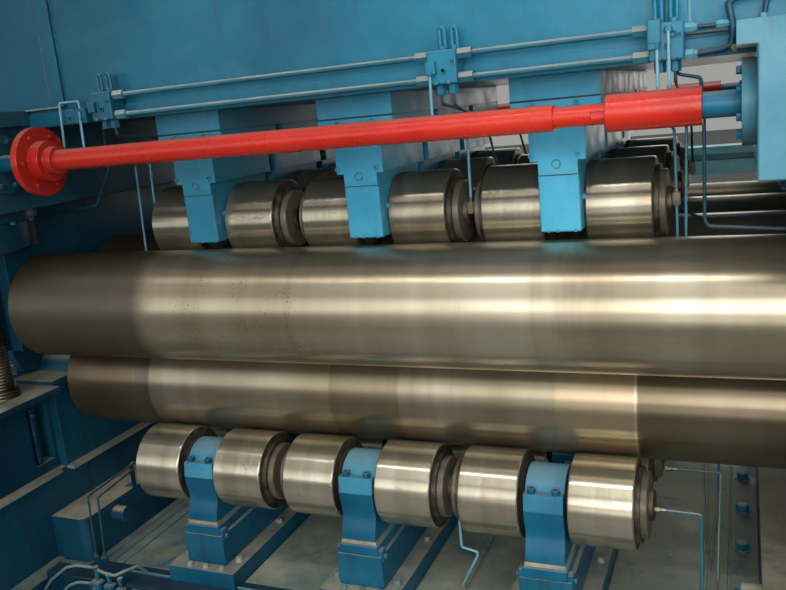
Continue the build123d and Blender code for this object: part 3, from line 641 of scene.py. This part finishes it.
def deck_plates():
    """Deck plates with narrow gaps between them, and the blue strips with a bright lip at their ends, whose
    bright blue is partly worn paint and partly a painted highlight.
    """
    plates, strips, worn_and_highlight_lips = bmesh.new(), bmesh.new(), bmesh.new()
    under = deck_z - 0.001
    for x0, x1 in ((-1.163, -1.131), (-1.123, -1.089), (-1.081, -1.039), (-1.031, -0.780), (-0.500, -0.172),
                   (0.110, 0.270), (0.279, 0.436), (0.716, 1.069), (1.077, 1.163)):
        slab(plates, (x0, -0.744, under), (x1, 0.744, deck_z + 0.005), 0.001)
    for end in both:
        slab(strips, (-1.163, end * 0.746, under), (1.163, end * 0.799, deck_z + 0.004), 0.001)
        # Bright lips along the strips' edges: partly worn paint, partly a painted highlight.
        for x0, x1 in ((-0.975, -0.778), (-0.502, -0.170), (0.106, 0.438), (0.714, 1.160)):
            slab(worn_and_highlight_lips, (x0, end * 0.784, deck_z), (x1, end * 0.792, deck_z + 0.012))
    add_piece("deck_plates", plates, "bed", deck)
    add_piece("deck_end_strips", strips, "bed", rail_front)
    add_piece("deck_end_worn_and_highlight_lips", worn_and_highlight_lips, "bed", bright_blue)


def deck_bolts():
    """Row of large bolts near the deck's right edge."""
    bm = bmesh.new()
    for k in range(6):
        hex_bolt(bm, (1.112, -0.700 + 0.275 * k, deck_z + 0.005), upward, 0.040)
    add_piece("deck_bolts", bm, "bed", blue)


def rail_bolts():
    """Bolts along the soles of the pedestal rails and at their ends."""
    bm = bmesh.new()
    sole_top = deck_z + 0.064
    for x in pedestal_x:
        for side in both:
            for k in range(6):
                hex_bolt(bm, (x + side * 0.108, -0.715 + 0.286 * k, sole_top), upward, 0.022)
        for dx in (-0.055, 0.011, 0.077):
            for end in both:
                hex_bolt(bm, (x + dx, end * 0.780, sole_top), upward, 0.018)
    add_piece("rail_bolts", bm, "bed", deck)


def pedestal_clamps():
    """Clamp lugs and screws at the corners of each pedestal's foot."""
    bm = bmesh.new()
    rail_top = 0.498
    for x, y in pedestals:
        for sx, sy in four:
            cx = x + sx * 0.0735
            cy = y + sy * 0.118
            slab(bm, (cx - 0.009, cy - 0.015, rail_top - 0.020), (cx + 0.009, cy + 0.015, rail_top + 0.022))
            hex_bolt(bm, (cx + sx * 0.009, cy, rail_top - 0.004), (sx, 0, 0), 0.014, False)
    add_piece("pedestal_clamps", bm, "bed", blue)


def cap_bolts():
    """Socket-head screws on the ledges of the lower bearing caps."""
    bm = bmesh.new()
    for x, y in pedestals:
        for sx, sy in four:
            socket_bolt(bm, (x + sx * 0.036, y + sy * 0.0955, lower_backup_z + 0.051), upward, 0.024)
    add_piece("cap_bolts", bm, "bed", blue)


def left_tubes():
    """Twin grease tubes that rise at the left guide block and run back over clips on it."""
    top, front = 0.600, -0.765
    inner, outer = -1.117, -1.157
    feet = ((inner, -0.752, deck_z), (-1.155, -0.755, deck_z))
    twin = [
        [feet[0], (-1.084, front, top), (inner, -0.515, top), (inner, 0.60, top), (inner, 0.63, deck_z)],
        [feet[1], (-1.131, front, top), (outer, -0.46, top), (outer, 0.64, top), (outer, 0.67, deck_z)],
    ]
    pipe("left_tubes", twin, 0.0038, "bed", tube_grey)
    clips = bmesh.new()
    for y in (-0.48, 0.08, 0.56):
        for x0, x1, z0, z1 in ((-1.210, -1.166, 0.500, 0.504), (-1.170, -1.166, 0.500, 0.596),
                               (-1.170, -1.104, 0.5915, 0.5955)):
            slab(clips, (x0, y - 0.012, z0), (x1, y + 0.012, z1), 0.001)
        hex_bolt(clips, (-1.190, y, 0.504), upward, 0.012, False)
        for x in (outer, inner):
            slab(clips, (x - 0.008, y - 0.009, 0.5955), (x + 0.008, y + 0.009, 0.6060))
    for x, y, z in feet:
        nut(clips, (x, y, z + 0.004), upward, 0.010, 0.020, 0.007, tail=(0.034, 0.007))
    add_piece("left_tube_clips", clips, "bed", blue)


def rail_pipes():
    """Two bent pipes along the front rail to a small group of valves on it."""
    y = -0.881
    routes = [
        [(-1.331, y, 0.150), (-1.325, y, 0.236), (-1.270, y, 0.301), (-1.180, y, 0.367), (-1.129, y, 0.383),
         (-1.046, y, 0.386)],
        [(-1.331, y, 0.100), (-1.275, y, 0.180), (-1.245, y, 0.238), (-1.183, y, 0.292), (-1.137, y, 0.313),
         (-1.072, y, 0.319), (-1.040, y, 0.307)],
        [(-1.046, y, 0.386), (-1.010, y, 0.372), (-0.955, y, 0.366), (-0.925, -0.860, 0.376),
         (-0.905, -0.812, 0.372), (-0.902, -0.775, 0.324)],
    ]
    pipe("rail_pipes", routes, 0.0055, "bed", pipe_pale)
    bm = bmesh.new()
    for low, high in (((-1.060, -0.902, 0.278), (-1.014, -0.868, 0.338)),
                      ((-1.000, -0.900, 0.268), (-0.962, -0.868, 0.332)),
                      ((-0.950, -0.898, 0.280), (-0.915, -0.868, 0.322))):
        slab(bm, low, high, 0.004)
    for x, low, high, r in ((-1.036, 0.336, 0.392, 0.008), (-0.982, 0.330, 0.368, 0.009),
                            (-0.933, 0.320, 0.360, 0.008)):
        stem = [(low, r), (high - 0.010, r), (high - 0.010, r * 1.35), (high, r * 1.35)]
        turned(bm, stem, (x, y, 0), upward, 8)
        nut(bm, (x, -0.900, low - 0.025), frontward, 0.008, 0.010, 0.006)
    add_piece("rail_valves", bm, "bed", rail_blue)
    union = bmesh.new()
    profile = [(0, 0.012), (0.018, 0.012), (0.020, 0.017), (0.050, 0.017), (0.054, 0.012), (0.078, 0.012)]
    turned(union, profile, (-0.900, -0.885, 0.306), (1, 0, 0.12), 16)
    add_piece("rail_union", union, "bed", shim)


def middle_tubes():
    """Grease tubes from the middle spindles down to the deck, with their end nuts."""
    routes = []
    nuts = bmesh.new()
    for y in pedestal_y:
        start = (0.262, y + 0.015, 0.655)
        routes.append([start, (0.268, y + 0.013, 0.620), (0.274, y - 0.005, 0.493), (0.327, y - 0.005, 0.482),
                       (0.326, y - 0.005, 0.467), (0.252, y + 0.025, deck_z + 0.004)])
        nut(nuts, start, (0.1, 0, -1), 0.010, 0.010, 0.008, -0.010, (0.022, 0.007))
        nut(nuts, (0.254, y + 0.024, deck_z + 0.003), (0.3, 0, 1), 0.010, 0.012, 0.007, tail=(0.024, 0.007))
    pipe("middle_tubes", routes, 0.0042, "bed", tube_light)
    add_piece("middle_tube_nuts", nuts, "bed", zinc)


def ledge_strips():
    """Dusty bars along the plinths, and the pocket ribs in the side walls with their bolts."""
    bars = bmesh.new()
    ribs = bmesh.new()
    for side, end in four:
        slab(bars, (side * 1.297, end * 0.772, 0.300), (side * 1.331, end * 1.052, 0.333))
        slab(bars, (side * 1.308, end * 0.690, 0.646), (side * 1.331, end * 1.052, 0.657))
        slab(ribs, (side * 1.366, end * 0.724, 0.696), (side * 1.421, end * 0.742, 0.922))
        hex_bolt(ribs, (side * 1.366, end * 0.733, 0.890), (-side, 0, 0), 0.015, False)
    for side in both:
        slab(bars, (side * 1.292, -0.650, 0.642), (side * 1.331, 0.650, 0.657))
    add_piece("plinth_bars", bars, "bed", deck)
    add_piece("pocket_ribs", ribs, "bed", deep_blue)


def deck_tubes():
    """Grease tubes from the right-hand spindle ends down to the deck and forward to a block at the rail."""
    top = deck_z + 0.011
    end_x = 0.880
    rail_y = -0.760
    rows = [
        [(end_x, -0.615, 0.69), (1.005, -0.615, 0.686), (1.008, -0.640, top), (1.004, rail_y, top)],
        [(end_x, -0.205, 0.63), (1.047, -0.205, 0.628), (1.040, -0.36, top), (1.022, rail_y, top)],
        [(end_x, 0.205, 0.69), (1.030, 0.205, 0.68), (1.030, 0.16, top), (1.015, -0.17, top),
         (1.013, rail_y, top)],
        [(end_x, 0.615, 0.69), (0.968, 0.615, 0.68), (0.968, 0.58, top), (0.993, 0.06, top),
         (0.995, rail_y, top)],
    ]
    pipe("deck_tubes", rows, 0.0042, "bed", tube_blue)
    bm = bmesh.new()
    for route in rows:
        nut(bm, route[0], rightward, 0.010, 0.014, 0.0085, -0.006)
        nut(bm, route[0], rightward, 0.007, 0.030, 0.005, 0.016)
    slab(bm, (0.982, -0.795, deck_z + 0.003), (1.036, -0.758, deck_z + 0.030))
    for k in range(4):
        nut(bm, (0.995 + 0.009 * k, rail_y, top + 0.001), (0, 1, 0), 0.007, 0.014, 0.005)
    add_piece("deck_tube_fittings", bm, "bed", zinc)


def motor_fittings():
    """Foot bolts and fan grille of the drive motor."""
    low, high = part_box("drive_motor")
    x = (low.x + high.x) / 2
    y = (low.y + high.y) / 2
    axis_z = low.z + 0.126
    bm = bmesh.new()
    for sx, sy in four:
        hex_bolt(bm, (x + sx * 0.085, y + sy * 0.096, low.z + 0.012), upward, 0.019)
    end = aimed((low.x + 0.001, y, axis_z), (-1, 0, 0))
    for inner, outer in ((0.012, 0.022), (0.034, 0.039), (0.051, 0.056), (0.068, 0.073), (0.085, 0.104)):
        ring_plate(bm, end, inner, outer, 0.005)
    for k in range(8):
        turn = end @ Matrix.Rotation(math.pi * k / 4, 4, "Z")
        slab(bm, (0.020, -0.002, 0.0), (0.090, 0.002, 0.004), 0.0005, turn)
    add_piece("motor_fittings", bm, "bed", motor_blue)


# Upper frame

def bracket_bolts():
    """Screws, plugs and a seam on each hanging bracket."""
    heads = bmesh.new()
    seams = bmesh.new()
    plug = [(0, 0.014), (0.003, 0.014), (0.004, 0.0125), (0.001, 0.0115), (0.003, 0.0095), (0.003, 0.004)]
    for x, y in brackets:
        for end in both:
            face = y + end * bracket_face
            out = (0, end, 0)
            for dx, z in ((-0.074, 1.727), (0.056, 1.727), (0.060, 1.866), (-0.060, 1.866)):
                socket_bolt(heads, (x + dx, face - end * 0.005, z), out, 0.015)
            for dx in (-0.034, -0.008, 0.043):
                socket_bolt(heads, (x + dx, face - end * 0.004, 1.514), out, 0.010)
            turned(heads, plug, (x - 0.004, face - end * 0.001, 1.702), out, 28)
            slab(seams, (x - 0.055, face - end * 0.002, 1.6706), (x + 0.055, face + end * 0.0006, 1.6728), 0)
        for side, end in four:
            hex_bolt(heads, (x + side * 0.0575, y + end * 0.12, 1.600), (side, 0, 0), 0.016)
    add_piece("bracket_screws", heads, "upper_frame", bright_blue)
    add_piece("bracket_seams", seams, "upper_frame", seam_dark)


def bracket_joints():
    """Narrow cover strips at the joint between each bracket and its rail."""
    bm = bmesh.new()
    for x in bracket_x:
        for end in both:
            face = end * 0.588
            slab(bm, (x - 0.127, face - 0.003, 1.877), (x + 0.127, face + 0.003, 1.882), 0.001)
    add_piece("bracket_joint_strips", bm, "upper_frame", seam_dark)


def beam_seams():
    """Weld beads on the beam and the dusty ledge under its end plates."""
    beads = bmesh.new()
    ledges = bmesh.new()
    for side, end in four:
        x = side * 1.001
        slab(beads, (x - 0.004, end * 0.718, 2.012), (x + 0.004, end * 0.7335, 2.590), 0.001)
        slab(ledges, (side * 0.960, end * 0.719, 2.000), (side * 1.538, end * 0.742, 2.0055), 0.001)
    add_piece("beam_weld_beads", beads, "upper_frame", pale_blue)
    add_piece("beam_end_ledges", ledges, "upper_frame", deck)


def manifold_fittings():
    """U-bent tubes, screws and ring screws on the lubrication blocks, and the block beside the left one."""
    loops = []
    bm = bmesh.new()
    top = 2.031
    y = block_outlet_y
    face = block_front_y + 0.001
    eye = [(0, 0.008), (0.005, 0.008), (0.006, 0.007), (0.006, 0.005), (0.001, 0.0045)]
    outlets = ((-0.018, 0.018), (-0.003, 0.030), (-0.019, 0.016))
    for x, places, rise in zip(block_x, outlets, (2.084, 2.086, 2.205)):
        for dx in places:
            a = x + dx - 0.007
            b = x + dx + 0.007
            loops.append([(a, y, top), (a, y, rise), (b, y, rise), (b, y, top)])
            nut(bm, (x + dx, y, top - 0.001), upward, 0.012, 0.010, 0.010)
        turned(bm, eye, (x + 0.004, face, 1.978), frontward, 20)
        socket_bolt(bm, (x + 0.030, face, 2.001), frontward, 0.010)
        for dx in (-0.017, 0.017):
            nut(bm, (x + dx, -0.803, 1.944), upward, 0.009, 0.006, 0.006, sides=8)
    left, middle, right = block_x
    slab(bm, (left - 0.159, -0.790, 1.942), (left - 0.074, -0.718, 1.989), 0.003)
    socket_bolt(bm, (left - 0.140, -0.789, 1.965), frontward, 0.012)
    socket_bolt(bm, (left - 0.092, -0.789, 1.958), frontward, 0.012)
    slab(bm, (right - 0.0415, -0.8155, 1.984), (right - 0.0105, -0.799, 2.040))
    for x, y, z, r in ((right - 0.020, -0.808, 1.973, 0.008), (middle - 0.028, -0.817, 1.966, 0.006)):
        turned(bm, [(0, r * 0.8), (0.003, r), (0.012, r)], (x, y, z), upward)
    turned(bm, [(0, 0.010), (0.008, 0.010), (0.012, 0.007)], (right + 0.006, -0.801, 2.014), frontward, 20)
    turned(bm, [(0, 0.009), (0.006, 0.009), (0.008, 0.006), (0.002, 0.005)], (right + 0.016, -0.801, 2.003),
           frontward, 20)
    pipe("manifold_loops", loops, 0.0054, "upper_frame", beam_blue)
    add_piece("manifold_screws", bm, "upper_frame", beam_blue)


def drop_tubes():
    """Thin tubes from the lubrication blocks down to the upper spindles, and their end fittings."""
    y = block_outlet_y
    light = [
        [(0.368, -0.817, 1.972), (0.364, -0.812, 1.845), (0.345, -0.700, 1.815), (0.338, -0.438, 1.785),
         (0.336, -0.438, 1.680), (0.335, -0.438, 1.595)],
        [(0.932, -0.808, 1.981), (0.932, -0.808, 1.880), (0.936, -0.640, 1.800), (0.940, -0.438, 1.765),
         (0.943, -0.438, 1.595)],
        [(0.958, -0.815, 2.010), (0.959, -0.812, 1.882), (0.966, -0.640, 1.800), (0.972, -0.430, 1.770),
         (0.966, -0.438, 1.438), (0.944, -0.438, 1.438), (0.943, -0.438, 1.556)],
        [(-0.829, -0.794, 1.978), (-0.835, -0.794, 1.845), (-0.870, -0.640, 1.815), (-0.945, -0.430, 1.785),
         (-0.959, -0.430, 1.438), (-0.880, -0.438, 1.438), (-0.877, -0.438, 1.556)],
        [(-0.850, y, 1.986), (-0.852, y, 2.013), (-0.932, y, 2.014), (-0.940, -0.770, 1.845),
         (-0.925, -0.640, 1.815), (-0.878, -0.430, 1.785), (-0.880, -0.434, 1.684), (-0.877, -0.438, 1.595)],
    ]
    dark = [
        [(0.413, y, 1.922), (0.413, y, 1.890), (0.370, -0.400, 1.840), (0.318, -0.120, 1.770),
         (0.326, -0.100, 1.697), (0.335, -0.028, 1.595)],
        *([(a, y, 1.922), (a, y, 1.895), (b, -0.300, high), (c, 0.280, 1.780), (d, 0.382, 1.595)]
          for a, b, high, c, d in ((0.379, 0.340, 1.850, 0.318, 0.335), (0.969, 0.950, 1.840, 0.946, 0.943),
                                   (-0.719, -0.760, 1.850, -0.900, -0.877))),
        [(-1.067, -0.430, 1.944), (-1.067, -0.430, 1.917), (-1.072, -0.430, 1.771), (-1.160, -0.430, 1.640),
         (-1.346, -0.430, 1.620)],
    ]
    pipe("drop_tubes_light", light, 0.0042, "upper_frame", tube_light)
    pipe("drop_tubes_dark", dark, 0.0042, "upper_frame", tube_dark)
    bm = bmesh.new()
    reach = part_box("upper_spindles")[1].x - bracket_x[-1]
    for bracket, side in zip(bracket_x, (-1, 1, 1)):
        x = bracket + side * reach
        for y in bracket_y:
            slab(bm, (x - side * 0.001, y - 0.044, 1.553), (x + side * 0.021, y - 0.014, 1.592), 0.003)
            nut(bm, (x + side * 0.010, y - 0.028, 1.592), upward, 0.008, 0.008, 0.006, -0.002)
    add_piece("drop_tube_ends", bm, "upper_frame", bare)


def right_pipes():
    """Thick pipe from the right-hand block over the girder, with its branches, and tubes to the chock."""
    y = -0.775
    pipe("girder_pipe", [
        [(0.992, y, 1.953), (1.071, y, 1.957), (1.093, y, 1.966), (1.097, y, 1.988), (1.093, y, 2.025),
         (1.087, y, 2.055), (1.100, y, 2.068), (1.131, y, 2.074), (1.270, y - 0.010, 2.082),
         (1.290, y - 0.010, 2.003)],
    ], 0.0088, "upper_frame", pipe_dark)
    pipe("girder_branch", [
        [(0.992, y, 2.014), (1.094, y, 2.013)],
        [(1.181, y, 2.068), (1.166, y, 2.052), (1.160, y, 2.003)],
    ], 0.0065, "upper_frame", pipe_dark)
    pipe("chock_tubes", [
        [(0.969, block_outlet_y, 1.925), (0.975, -0.755, 1.911), (1.025, -0.750, 1.898),
         (1.031, -0.750, 1.804), (1.030, -0.750, 1.557), (1.039, -0.750, 1.540), (1.214, -0.750, 1.528),
         (1.346, -0.728, 1.526)],
        [(0.940, -0.385, 1.545), (0.975, -0.360, 1.515), (0.997, -0.300, 1.494), (1.213, -0.300, 1.498),
         (1.346, -0.300, 1.500)],
    ], 0.0045, "upper_frame", tube_dark)
    bm = bmesh.new()
    for x, z, r in ((0.992, 1.953, 0.014), (0.992, 2.014, 0.012), (1.060, 2.014, 0.010)):
        nut(bm, (x, y, z), rightward, r, 0.018, r * 0.85, tail=(0.028, r * 0.8))
    nut(bm, (1.290, y - 0.010, 2.003), upward, 0.016, 0.016, 0.013, tail=(0.028, 0.012))
    nut(bm, (1.160, y, 2.003), upward, 0.014, 0.014, 0.011, tail=(0.024, 0.010))
    add_piece("girder_pipe_nuts", bm, "upper_frame", pale_blue)
    plug = bmesh.new()
    nut(plug, (1.099, y - 0.006, 1.957), (0.3, -1, 0), 0.010, 0.010, 0.008)
    add_piece("girder_pipe_plug", plug, "upper_frame", zinc)


def gear_covers():
    """Round covers with screws on the outer ends of the girders and round the lifting screws."""
    bm = bmesh.new()
    cover = [(0, 0.105), (0.012, 0.105), (0.015, 0.102), (0.015, 0.062), (0.027, 0.058), (0.030, 0.052)]
    for side, end in four:
        outer = aimed((side * (girder_end_x - 0.001), end * shaft_y, shaft_z), (side, 0, 0))
        lathe(bm, cover, outer, 40)
        screw_ring(bm, outer, 0.085, 0.015, 8, 0.014)
        top = aimed((side * lifting_screw_x, end * lifting_screw_y, girder_top_z - 0.001), upward)
        ring_plate(bm, top, 0.052, 0.120, 0.014)
        screw_ring(bm, top, 0.100, 0.014, 8, 0.014)
    add_piece("gear_covers", bm, "upper_frame", deep_blue)


def flange_bolts():
    """Bolts round the shaft flanges, the nut housings and the neck covers."""
    flange_circle, housing_circle, cover_circle = 0.076, 0.216, 0.085
    bm = bmesh.new()
    for side in both:
        for y in (-shaft_y, shaft_y):
            for v, w in circle(flange_circle, 8, 0.5):
                hex_bolt(bm, (side * (girder_x - 0.030), y + v, shaft_z + w), (-side, 0, 0), 0.016)
        for y in (-lifting_screw_y, lifting_screw_y):
            for u, v in circle(housing_circle, 12):
                hex_bolt(bm, (side * lifting_screw_x + u, y + v, 1.640), (0, 0, -1), 0.018)
        for y in pedestal_y:
            for v, w in circle(cover_circle, 8, 0.5):
                hex_bolt(bm, (side * neck_cover_x, y + v, upper_axis_z + w), (side, 0, 0), 0.016)
    add_piece("flange_bolts", bm, "upper_frame", blue)


def coupling_bolts(name, y):
    """Bolts round the flange coupling of a cross shaft."""
    bm = bmesh.new()
    for v, w in circle(0.086, 6):
        hex_bolt(bm, (-0.945, y + v, shaft_z + w), rightward, 0.013, False)
    add_piece(name + "_bolts", bm, name, red)


def set_stage():
    """Pale floor, soft lamps, and a world that is brighter where it is seen or mirrored."""
    bpy.ops.mesh.primitive_plane_add(size=60, location=(0, 0, -0.0005))
    floor = bpy.context.object
    floor.name = "studio_floor"
    s = Surface("studio_floor")
    floor.data.materials.append(s.finish(rgb(180, 180, 176), 0.85))
    world = bpy.data.worlds.new("studio_world")
    scene.world = world
    world.use_nodes = True
    nodes = world.node_tree.nodes
    link = world.node_tree.links.new
    background = nodes["Background"]
    background.inputs["Color"].default_value = (0.13, 0.137, 0.147, 1.0)
    seen = nodes.new("ShaderNodeBackground")
    seen.inputs["Color"].default_value = (0.34, 0.34, 0.33, 1.0)
    rays = nodes.new("ShaderNodeLightPath")
    shown = nodes.new("ShaderNodeMath")
    shown.operation = "MAXIMUM"
    choice = nodes.new("ShaderNodeMixShader")
    link(rays.outputs["Is Camera Ray"], shown.inputs[0])
    link(rays.outputs["Is Glossy Ray"], shown.inputs[1])
    link(shown.outputs[0], choice.inputs[0])
    link(background.outputs[0], choice.inputs[1])
    link(seen.outputs[0], choice.inputs[2])
    link(choice.outputs[0], nodes["World Output"].inputs["Surface"])

    white, soft = (1, 1, 1), (1, 0.98, 0.95)
    lamps = (  # name, place, target, size, watts, colour, spread in degrees
        ("window", (1.9, -6.4, 2.95), (0.6, -0.6, 1.9), (4.8, 2.4), 32, soft, 56),
        ("left_window", (-3.2, -6.0, 2.6), (-0.6, -0.6, 1.9), (4.6, 2.8), 6, (0.96, 0.98, 1.0), 56),
        ("skylight", (0.4, -5.2, 6.4), (0.3, -0.7, 1.7), (6.5, 4.4), 19.5, soft, 70),
        ("strip", (0.3, -2.9, 5.2), (0.3, -0.7, 1.4), (5.4, 0.10), 8.5, soft, 70),
        ("low_window", (1.5, -6.3, 0.66), (0.4, -0.6, 1.1), (4.8, 1.2), 5, (1.0, 0.98, 0.94), 56),
        ("floor_light", (0.6, -4.6, 1.3), (0.6, -4.6, 0.0), (6.0, 0.9), 14, (1.0, 0.93, 0.78), 50),
        ("side", (4.4, -3.9, 2.7), (1.0, -0.8, 1.6), (2.0, 2.2), 8, soft, 70),
        ("back", (0.8, 5.6, 1.9), (0.4, 0, 1.4), (6.4, 2.8), 80, (1.0, 0.96, 0.88), 180),
        ("left_side", (-6.2, 1.6, 3.2), (-1.7, 0.2, 1.2), (3.0, 2.4), 26, white, 60),
        ("right_side", (6.2, 2.2, 3.2), (1.7, 0.2, 1.2), (3.0, 2.4), 14, white, 60),
        ("overhead", (0.0, 1.6, 6.5), (0, 1.6, 0), (4.0, 3.0), 20, white, 60),
    )
    for name, place, target, size, power, colour, spread in lamps:
        data = bpy.data.lights.new(name, "AREA")
        data.shape = "RECTANGLE"
        data.size, data.size_y = size
        data.energy = power
        data.color = colour
        data.spread = math.radians(spread)
        obj = bpy.data.objects.new(name, data)
        scene.collection.objects.link(obj)
        obj.location = place
        obj.rotation_euler = (Vector(target) - Vector(place)).to_track_quat("-Z", "Y").to_euler()
        obj.visible_camera = False


def set_camera():
    data = bpy.data.cameras.new("photo_camera")
    data.lens = lens_mm
    data.sensor_width = 36.0
    data.clip_start = 0.05
    data.clip_end = 200
    camera = bpy.data.objects.new("photo_camera", data)
    scene.collection.objects.link(camera)
    turn = Matrix((camera_right, -camera_down, -camera_forward)).transposed()
    camera.matrix_world = Matrix.Translation(camera_place) @ turn.to_4x4()
    scene.camera = camera


set_camera()
set_stage()
deck_plates()
deck_bolts()
rail_bolts()
pedestal_clamps()
cap_bolts()
left_tubes()
rail_pipes()
middle_tubes()
ledge_strips()
deck_tubes()
motor_fittings()
bracket_bolts()
bracket_joints()
beam_seams()
manifold_fittings()
drop_tubes()
right_pipes()
gear_covers()
flange_bolts()
coupling_bolts("front_cross_shaft", -shaft_y)
coupling_bolts("rear_cross_shaft", shaft_y)

scene.view_settings.view_transform = "Standard"
